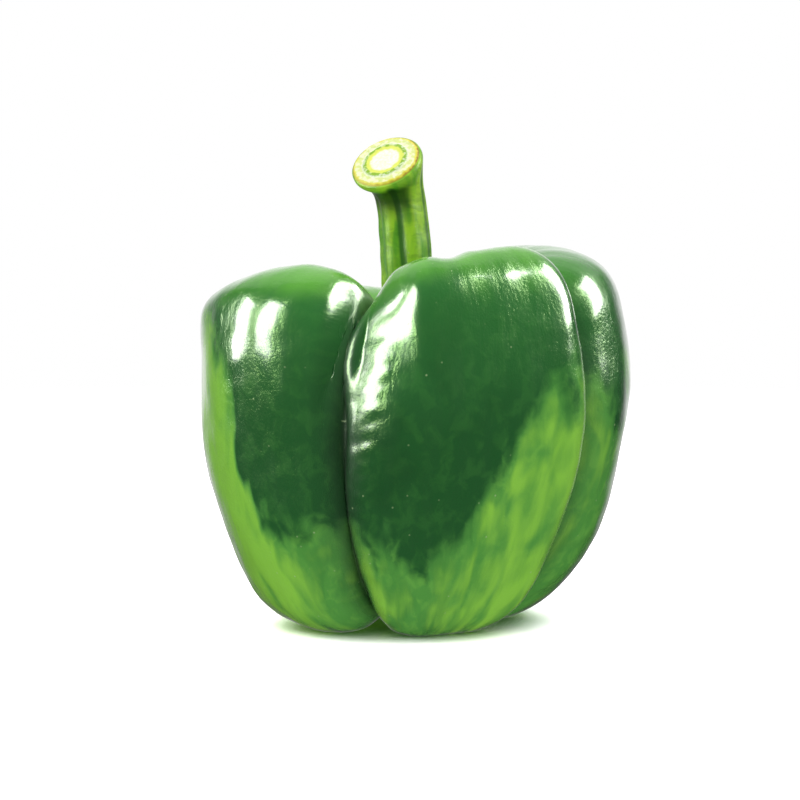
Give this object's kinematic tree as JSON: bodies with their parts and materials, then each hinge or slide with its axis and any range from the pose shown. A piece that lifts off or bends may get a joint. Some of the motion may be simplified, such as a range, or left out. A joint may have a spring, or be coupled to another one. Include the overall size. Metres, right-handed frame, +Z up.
{
  "type": "bell pepper",
  "caption": "Blocky green bell pepper with deep furrows between its lobes, standing upright on its feet, with a thick curved stem cut obliquely at a flared end.",
  "frame": {"origin": "on the surface that the pepper stands on, under the middle of the whole pepper's box", "axes": "+Z up along the stem, -Y towards the front lobe, +X to the right of it, towards the broadest lobe"},
  "size_m": [0.0864, 0.0821, 0.0978],
  "materials": {
    "green_skin": "gloss",
    "green_stem": "satin"
  },
  "bodies": {
    "root": {"fruit": "green_skin", "stem": "green_stem"}
  },
  "joints": []
}
